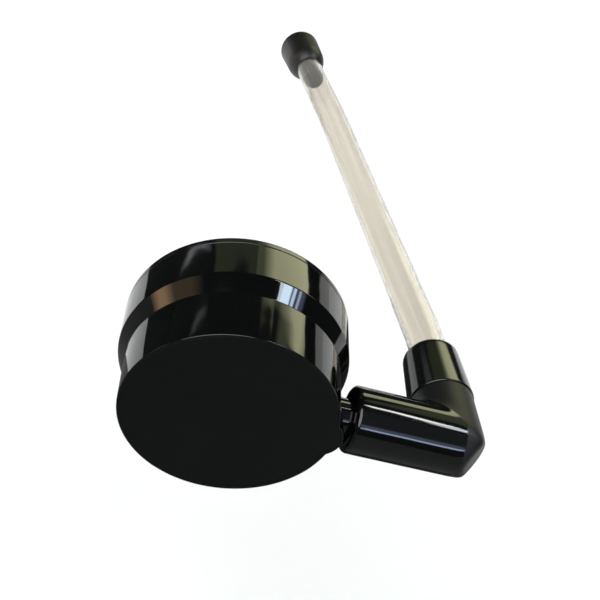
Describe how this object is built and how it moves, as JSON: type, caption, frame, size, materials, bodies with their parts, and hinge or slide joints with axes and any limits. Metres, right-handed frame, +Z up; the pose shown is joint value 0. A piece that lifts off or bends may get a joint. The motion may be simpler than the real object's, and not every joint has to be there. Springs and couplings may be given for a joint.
{
  "type": "lever-operated diaphragm bilge pump",
  "caption": "Hand lever diaphragm bilge pump: flat-based stepped body, side drive shaft with elbow hub, clear handle tube and two rear hose tails.",
  "frame": {"origin": "middle of the flat mounting face of the base", "axes": "+Y runs from the mounting face along the body's axis, +X runs along the drive shaft towards the lever hub, +Z is up"},
  "size_m": [0.1993, 0.5098, 0.1214],
  "materials": {
    "shell": "polished black moulding",
    "pad_rubber": "matt black bonding pad",
    "cover": "polished black moulding",
    "seal_rubber": "black nitrile",
    "steel": "stainless",
    "valve_plastic": "dark grey moulding",
    "flap_rubber": "red-brown elastomer",
    "tail_plastic": "glass-filled black moulding",
    "diaphragm_rubber": "black nitrile",
    "plate_alloy": "turned",
    "yoke_plastic": "natural acetal",
    "bush_bronze": "sintered bronze",
    "hub_plastic": "polished black moulding",
    "boot_rubber": "glossy black elastomer",
    "clear_tube": "translucent extruded tube"
  },
  "bodies": {
    "pump_body": {"housing": "shell", "base_pad": "pad_rubber", "rear_cover": "cover", "cover_gasket": "seal_rubber", "cover_screws": "steel", "valve_body": "valve_plastic", "flap_pins": "steel", "inlet_tail": "tail_plastic", "outlet_tail": "tail_plastic", "tail_seals": "seal_rubber", "diaphragm": "diaphragm_rubber", "guide_pins": "steel", "neck_bush": "bush_bronze", "web_bush": "bush_bronze", "shaft_seal": "seal_rubber"},
    "rocker": {"drive_shaft": "steel", "crank_arm": "steel", "crank_pin": "steel", "pin_clip": "steel", "roll_pin": "steel", "lever_hub": "hub_plastic", "hub_screw": "steel", "handle_boot": "boot_rubber"},
    "piston": {"yoke": "yoke_plastic", "inner_plate": "plate_alloy", "outer_plate": "plate_alloy", "centre_bolt": "steel", "centre_washer": "seal_rubber"},
    "handle": {"handle_tube": "clear_tube", "tube_plug": "seal_rubber", "handle_grip": "boot_rubber", "grip_plug": "seal_rubber"},
    "inlet_valve": {"inlet_flap": "flap_rubber"},
    "outlet_valve": {"outlet_flap": "flap_rubber"}
  },
  "joints": [
    {"name": "handle_rock", "type": "hinge", "parent": "pump_body", "child": "rocker", "pos_m": [0.056, 0.0185, 0], "axis": [1, 0, 0], "range_deg": [-32, 32]},
    {"name": "diaphragm_stroke", "type": "slide", "parent": "pump_body", "child": "piston", "axis": [0, 1, 0], "range_m": [-0.0071, 0.0071], "deforming": ["diaphragm"]},
    {"name": "inlet_flap_hinge", "type": "hinge", "parent": "pump_body", "child": "inlet_valve", "pos_m": [-0.026, 0.061, 0.0016], "axis": [1, 0, 0], "range_deg": [-20, 0]},
    {"name": "outlet_flap_hinge", "type": "hinge", "parent": "pump_body", "child": "outlet_valve", "pos_m": [0.026, 0.0654, 0.0016], "axis": [1, 0, 0], "range_deg": [0, 22]},
    {"name": "handle_pull", "type": "slide", "parent": "rocker", "child": "handle", "axis": [-0.0419, 0.9978, -0.0523], "range_m": [0, 0.05]}
  ],
  "couplings": [
    {"joint": "diaphragm_stroke", "follows": "handle_rock", "m_per_rad": -0.0126}
  ]
}
